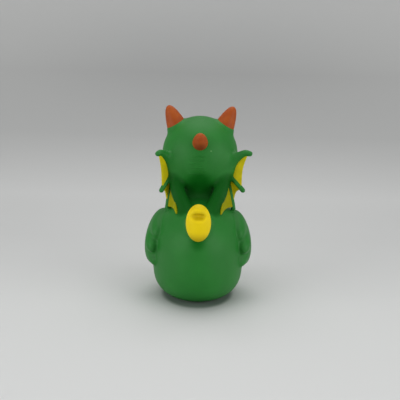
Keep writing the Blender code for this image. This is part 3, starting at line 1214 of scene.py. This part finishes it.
@dataclass
class Horns:
    """Two orange horns on green collars, and the spike on the back of the head."""

    trunk: Trunk
    length: float = 10.3
    base: float = 4.9
    spread: float = 40.0
    lean: float = 24.0
    collar: float = 0.40
    fullness: float = 1.0
    roundness: float = 0.45
    spike_length: float = 7.3
    spike_base: float = 3.75
    spike_fullness: float = 1.25
    spike_lift: float = 27.0
    spike_lean: float = 38.0

    def _foot(self, side: Side) -> tuple[Vector, Vector]:
        """Where a horn stands and the way it points."""
        out = math.radians(self.spread)
        lean = math.radians(self.lean)
        head = self.trunk
        way = Vector((side.value * math.sin(out), 0.0, math.cos(out)))
        axis = Vector((side.value * math.sin(lean), 0.0, math.cos(lean)))
        return head.head_centre + way * head.head_radius, axis

    def model(self, clay: Clay) -> None:
        """Adds the collars to the clay."""
        for side in Side:
            foot, axis = self._foot(side)
            wide = self.base + self.collar
            turn = axis.to_track_quat("Z", "Y")
            centre = foot - axis * self.base * 0.36
            clay.join(Ball(centre, (wide, wide, self.base), turn), 3.0)

    def pieces(self) -> list[bpy.types.Object]:
        """The horns and the spike."""
        recipe = cone_recipe(
            "horn_cone", self.length, self.base, self.base, self.fullness, self.roundness
        )
        pieces = []
        for side in Side:
            foot, axis = self._foot(side)
            pieces.append(recipe.grow(f"horn_{side.name.lower()}", standing(foot, axis)))
        out = self.trunk.on_head(0.0, self.spike_lift, behind=True)
        axis = self.trunk.on_head(0.0, self.spike_lean, behind=True)
        foot = self.trunk.head_centre + out * self.trunk.head_radius
        spike = cone_recipe(
            "spike_cone",
            self.spike_length,
            self.spike_base,
            self.spike_base,
            self.spike_fullness,
            self.roundness,
        )
        pieces.append(spike.grow("spike", standing(foot, axis)))
        return pieces


@dataclass
class Nape:
    """The faint moulding folds across the back of the head, and small bumps beside them painted
    pale as glints.
    """

    trunk: Trunk
    count: int = 6
    highest: float = 5.5
    step: float = 5.2
    half_span: float = 14.0
    aside: float = 3.5
    thickness: float = 0.42
    proud: float = 0.34
    wander: float = 0.045
    seed: int = 7
    flecks: tuple[tuple[float, float, float], ...] = (
        (-17.0, 14.0, 0.42),
        (36.0, -9.0, 0.46),
        (-36.0, -12.0, 0.50),
    )

    def _folds(self) -> bpy.types.Object:
        """Thin arcs round the head, each turned down from the one above it."""
        sizes = {
            "Reach": (self.trunk.head_radius + self.proud - self.thickness) * MM,
            "Thickness": self.thickness * MM,
            "Half Span": math.radians(self.half_span),
            "Highest": math.radians(self.highest),
            "Step": math.radians(self.step),
        }
        recipe = Recipe("nape_folds", {**sizes, "Aside": math.radians(self.aside)})
        bench = recipe.bench
        line = bench.node("GeometryNodeCurvePrimitiveLine", {"End": (0.0, 0.0, 1.0)})
        fine = bench.node(
            "GeometryNodeResampleCurve", {"Curve": line.outputs[0], "Count": 28}
        )
        share = bench.wire(bench.node("GeometryNodeSplineParameter"), "Factor")
        turn = (share * 2.0 - 1.0) * recipe.given("Half Span")
        reach = recipe.given("Reach")
        spot = bench.node(
            "ShaderNodeCombineXYZ",
            {"X": turn.math("SINE") * reach, "Y": turn.math("COSINE") * reach},
        )
        arc = bench.node(
            "GeometryNodeSetPosition",
            {"Geometry": fine.outputs[0], "Position": spot.outputs[0]},
        )
        spots = bench.node(
            "GeometryNodeMeshLine", {"Count": self.count, "Offset": (0.0, 0.0, 0.0)}
        )
        index = bench.wire(bench.node("GeometryNodeInputIndex"))
        wander = bench.node(
            "FunctionNodeRandomValue",
            {2: -self.wander, 3: self.wander, "Seed": self.seed},
            {"data_type": "FLOAT"},
        )
        drift = bench.wire(wander, 1)
        lift = recipe.given("Highest") - index * recipe.given("Step") + drift * 0.3
        pose = bench.node(
            "ShaderNodeCombineXYZ", {"X": lift, "Z": drift - recipe.given("Aside")}
        )
        fans = bench.node(
            "GeometryNodeInstanceOnPoints",
            {
                "Points": spots.outputs[0],
                "Instance": arc.outputs[0],
                "Rotation": pose.outputs[0],
            },
        )
        real = bench.node("GeometryNodeRealizeInstances", {0: fans.outputs[0]})
        place = bench.wire(bench.node("GeometryNodeSplineParameter"), "Factor")
        girth = (place * math.pi).math("SINE").at_least(0.06) ** 0.7
        girth = girth * recipe.given("Thickness")
        ring = bench.node(
            "GeometryNodeCurvePrimitiveCircle", {"Resolution": 10, "Radius": 1.0}
        )
        recipe.close(sweep_skin(bench, real.outputs[0], ring.outputs[0], girth), GREEN)
        return recipe.grow("nape_folds", Matrix.Translation(self.trunk.head_centre * MM))

    def _fleck(self, number: int, spread: float, lift: float, size: float) -> bpy.types.Object:
        """One small flat bump on the head, painted pale as a glint."""
        out = self.trunk.on_head(spread, lift, behind=True)
        centre = self.trunk.head_centre + out * (self.trunk.head_radius - size * 0.1)
        half = (size, size * 0.7, size * 0.3)
        reach = Vector((1.0, 1.0, 1.0)) * size * 1.4
        clay = Clay.around(centre, reach, size * 0.14)
        clay.join(Ball(centre, half, out.to_track_quat("Z", "Y")), 0.1)
        return clay.piece(f"fleck_{number}", PAINTED_GLINT)

    def pieces(self) -> list[bpy.types.Object]:
        """The folds and the flecks."""
        flecks = [self._fleck(i, *fleck) for i, fleck in enumerate(self.flecks, 1)]
        return [self._folds()] + flecks


@dataclass
class Tail:
    """A green stalk out of the rump, and the yellow scooped tip on it."""

    trunk: Trunk
    width: float = 11.8
    height: float = 18.4
    depth: float = 9.6
    centre_height: float = 45.1
    lean: float = 5.0
    cell: float = 0.28
    stalk_radius: float = 5.4
    root_radius: float = 10.5

    @property
    def centre(self) -> Vector:
        """The middle of the tip."""
        return Vector((0.0, self.trunk.hull.rump, self.centre_height))

    def model(self, clay: Clay) -> None:
        """Adds the stalk to the clay."""
        rump = self.trunk.hull.rump
        root = Vector(
            (0.0, rump * 0.40, self.trunk.hull.rump_fullest_at + self.root_radius * 0.6)
        )
        bend = Vector((0.0, rump * 0.78, self.centre.z - self.stalk_radius * 1.2))
        end = self.centre + Vector((0.0, -self.depth * 0.20, self.height * 0.04))
        stalk = Bow.leaning(root, bend, end)
        steps = 12
        shares = [i / steps for i in range(steps + 1)]
        path = [stalk.at(share) for share in shares]
        thin = self.stalk_radius - self.root_radius
        radii = [
            self.root_radius + thin * share - self.stalk_radius * 0.35 * share**4
            for share in shares
        ]
        clay.join(Rod(path, radii), 4.0)

    def tip(self) -> bpy.types.Object:
        """The yellow tip, pressed in across under its upper lip."""
        lean = Quaternion((1.0, 0.0, 0.0), -math.radians(self.lean))
        half = Vector((self.width / 2, self.depth / 2, self.height / 2))
        reach = Vector((self.width, self.depth * 1.4, self.height)) * 0.62
        clay = Clay.around(self.centre, reach, self.cell)
        clay.join(Ball(self.centre, tuple(half), lean), 1.0)
        scoop = self.centre + lean @ Vector((0.0, half.y * 1.02, half.z * 0.46))
        clay.cut(Ball(scoop, (half.x * 0.62, half.y * 0.72, half.z * 0.18), lean), 1.9)
        return clay.piece("tail_tip", YELLOW)


@dataclass
class Face:
    """The bill's two lobes and the low oval eyes."""

    trunk: Trunk
    bill_width: float = 16.4
    bill_length: float = 10.4
    bill_thickness: float = 8.0
    bill_drop: float = 14.0
    bill_upturn: float = 14.0
    bill_cell: float = 0.30
    eye_cell: float = 0.20
    eye_width: float = 5.6
    eye_height: float = 7.4
    eye_stand: float = 0.6
    eye_spread: float = 24.0
    eye_lift: float = 17.0

    def pieces(self) -> list[bpy.types.Object]:
        """The bill and the eyes."""
        return [self._bill()] + [self._eye(side) for side in Side]

    def _bill(self) -> bpy.types.Object:
        """Two lobes cast in one, with the mouth line between them."""
        out = self.trunk.on_head(0.0, -self.bill_drop, behind=False)
        root = self.trunk.head_centre + out * self.trunk.head_radius
        tilt = Quaternion((1.0, 0.0, 0.0), -math.radians(self.bill_upturn))
        half = self.bill_thickness / 2
        reach = Vector((self.bill_width * 0.6, self.bill_length * 1.25, half * 2.6))
        clay = Clay.around(root, reach, self.bill_cell)
        upper = root + Vector((0.0, 0.0, half * 0.40))
        lower = root - Vector((0.0, 0.0, half * 0.48))
        clay.join(
            Ball(upper, (self.bill_width / 2, self.bill_length, half * 0.85), tilt), 1.0
        )
        clay.join(
            Ball(lower, (self.bill_width * 0.40, self.bill_length * 0.80, half * 0.70)), 0.9
        )
        return clay.piece("bill", ORANGE)

    def _eye(self, side: Side) -> bpy.types.Object:
        """A low oval bump in gloss black."""
        out = self.trunk.on_head(side.value * self.eye_spread, self.eye_lift, behind=False)
        depth = self.eye_height * 0.3
        centre = self.trunk.head_centre + out * (
            self.trunk.head_radius + self.eye_stand - depth
        )
        half = (self.eye_width / 2, self.eye_height / 2, depth)
        reach = Vector((1.0, 1.0, 1.0)) * self.eye_height * 0.62
        clay = Clay.around(centre, reach, self.eye_cell)
        clay.join(Ball(centre, half, out.to_track_quat("Z", "Y")), 1.0)
        return clay.piece(f"eye_{side.name.lower()}", BLACK)


@dataclass
class Duck:
    """The whole casting and its painted parts."""

    trunk: Trunk = field(default_factory=Trunk)
    cell: float = 0.5
    vent_radius: float = 1.3
    vent_back: float = 8.0
    sweeps: dict[Side, float] = field(
        default_factory=lambda: {Side.LEFT: 54.0, Side.RIGHT: 24.0}
    )

    def __post_init__(self) -> None:
        """Lays out the sub-assemblies on the trunk."""
        self.flank_wings = [FlankWing(side, self.trunk) for side in Side]
        self.dragon_wings = [
            DragonWing(side, self.trunk, self.sweeps[side]) for side in Side
        ]
        self.horns = Horns(self.trunk)
        self.tail = Tail(self.trunk)
        self.face = Face(self.trunk)
        self.nape = Nape(self.trunk)

    def skin(self) -> bpy.types.Object:
        """The green casting."""
        clay = Clay((-32.3, -35.3, -3.25), (32.3, 42.3, 96.0), self.cell)
        self.trunk.model(clay)
        self.tail.model(clay)
        for wing in self.flank_wings:
            wing.model(clay)
        for wing in self.dragon_wings:
            wing.model(clay)
        self.horns.model(clay)
        self._open_vent(clay)
        clay.stand(0.0)
        return clay.piece("duck_skin", GREEN)

    def _open_vent(self, clay: Clay) -> None:
        """Cuts the vent and the start of the hollow behind it."""
        mouth = Vector((0.0, self.vent_back, -5.0))
        inner = Vector((0.0, self.vent_back, 6.0))
        clay.cut(Rod([mouth, inner], [self.vent_radius] * 2), 0.4)
        clay.cut(Ball(inner, (6.0, 6.0, 3.4)), 0.8)

    def build(self) -> list[bpy.types.Object]:
        """Makes every piece and puts it on its body."""
        pieces = [self.skin(), self.tail.tip()]
        pieces += self.horns.pieces()
        pieces += self.face.pieces()
        pieces += self.nape.pieces()
        for wing in self.dragon_wings:
            pieces += wing.webs()
        return [settle(piece) for piece in pieces]


# The studio


@dataclass
class Studio:
    """A pale sweep, soft light and the camera behind and a little above the duck."""

    elevation: float = 14.0
    distance: float = 0.420
    lens: float = 75.6
    aim: tuple[float, float, float] = (-0.0005, 0.0, 0.0485)
    roll: float = 1.25
    lights: tuple[tuple[str, tuple[float, float, float], float, float], ...] = (
        ("overhead", (0.0, -0.10, 0.60), 0.60, 2.15),
        ("left_wall", (0.75, 0.45, 0.16), 0.70, 4.0),
        ("right_wall", (-0.75, 0.45, 0.16), 0.70, 4.0),
    )
    lights_aim: tuple[float, float, float] = (0.0, 0.0, 0.04)
    sky_colour: Colour = (0.95, 0.97, 1.0)
    sky_strength: float = 0.36
    cove_start: float = -0.16
    cove_radius: float = 0.30
    floor_front: float = 0.9
    half_width: float = 1.2
    painted_shadow_half: tuple[float, float] = (0.0172, 0.0225)
    paper_front: float = 0.15
    paper_run: float = 0.70
    # Painted shade: grey levels along the paper, darker where it rises behind the duck.
    paper_shade_tones: tuple[tuple[float, float], ...] = (
        (0.00, 0.735),
        (0.20, 0.668),
        (0.35, 0.590),
        (0.50, 0.568),
        (0.68, 0.382),
        (0.84, 0.314),
        (1.00, 0.384),
    )

    def camera(self) -> bpy.types.Object:
        """The camera, at the photograph's viewing angle."""
        tilt, roll = math.radians(self.elevation), math.radians(self.roll)
        ahead = Vector((0.0, -math.cos(tilt), -math.sin(tilt)))
        right = Vector((-1.0, 0.0, 0.0))
        up = right.cross(ahead)
        turned_right = right * math.cos(roll) + up * math.sin(roll)
        turned_up = up * math.cos(roll) - right * math.sin(roll)
        axes = Matrix((turned_right, turned_up, -ahead)).transposed()
        lens = bpy.data.cameras.new("camera")
        lens.sensor_width = 36.0
        lens.lens = self.lens
        lens.clip_start = 0.01
        camera = in_scene("camera", lens)
        place = Vector(self.aim) - ahead * self.distance
        camera.matrix_world = Matrix.Translation(place) @ axes.to_4x4()
        bpy.context.scene.camera = camera
        return camera

    def lamps(self) -> None:
        """A broad soft lamp overhead, two low ones like pale walls, and an even world."""
        for name, place, size, watts in self.lights:
            lamp = bpy.data.lights.new(name, "AREA")
            lamp.size = size
            lamp.energy = watts
            holder = in_scene(name, lamp)
            holder.location = place
            way = Vector(self.lights_aim) - Vector(place)
            holder.rotation_euler = way.to_track_quat("-Z", "Y").to_euler()
        world = bpy.data.worlds.new("studio")
        bpy.context.scene.world = world
        world.use_nodes = True
        backdrop = world.node_tree.nodes["Background"]
        backdrop.inputs["Color"].default_value = (*self.sky_colour, 1.0)
        backdrop.inputs["Strength"].default_value = self.sky_strength

    def sweep(self) -> bpy.types.Object:
        """The floor, which curves up into the backdrop."""
        outline = [(self.floor_front, 0.0), (0.3, 0.0), (0.0, 0.0), (self.cove_start, 0.0)]
        steps = 24
        for i in range(1, steps + 1):
            turn = 0.5 * math.pi * i / steps
            outline.append(
                (
                    self.cove_start - self.cove_radius * math.sin(turn),
                    self.cove_radius * (1.0 - math.cos(turn)),
                )
            )
        outline.append((outline[-1][0], 1.6))
        widths = (-self.half_width, 0.0, self.half_width)
        rows = [[(x, y, z) for x in widths] for y, z in outline]
        sweep = mesh_piece("sweep", *sheet(rows), self._paper())
        return sweep

    def _paper(self) -> bpy.types.Material:
        """Pale paper with painted shade: darker as it runs back and rises behind the duck, and a
        painted contact shadow where the duck stands on it.
        """
        material, bench, place = blank_material("sweep_paper")
        parts = bench.node("ShaderNodeSeparateXYZ", {0: place})
        # Painted shade: the grey ramps down as the paper runs back and rises, for the light's
        # fall-off, and the rising sides go towards a mid grey.
        run = bench.wire(parts, "Z") - bench.wire(parts, "Y")
        shares = (run + self.paper_front) / self.paper_run
        stops = [(spot, (grey, grey * 1.005, grey * 0.99)) for spot, grey in self.paper_shade_tones]
        ramp = bench.node("ShaderNodeValToRGB", {"Fac": shares}, {"stops": stops})
        aside = bench.wire(parts, "X").math("ABSOLUTE").ramped(0.02, 0.26)
        up = bench.wire(parts, "Z").ramped(-0.02, 0.10)
        tone = bench.mixed(aside * up * 0.5, ramp.outputs["Color"], (0.46, 0.46, 0.45))
        # Painted contact shadow: the paper darkened, a little green, in an oval where the duck
        # stands.
        across = bench.wire(parts, "X") / self.painted_shadow_half[0]
        along = bench.wire(parts, "Y") / self.painted_shadow_half[1]
        stand = ((across * across + along * along) ** 0.5).ramped(1.12, 0.94)
        tone = bench.mixed(stand * 0.72, tone, (0.06, 0.13, 0.08))
        bench.dress({"Base Color": tone, "Roughness": 0.85, "Specular IOR Level": 0.1})
        return material

    def build(self) -> None:
        """Sets up the view, the light and the floor."""
        bpy.context.scene.view_settings.view_transform = "Standard"
        self.camera()
        self.lamps()
        self.sweep()


def main() -> None:
    """Builds the studio and the duck, and logs each piece's triangles and how many pieces there
    are.
    """
    logging.basicConfig(level=logging.INFO, format="%(name)s %(message)s")
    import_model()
    Studio().build()
    pieces = Duck().build()
    log.info("%d pieces", len(pieces))


if __name__ == "__main__":
    main()
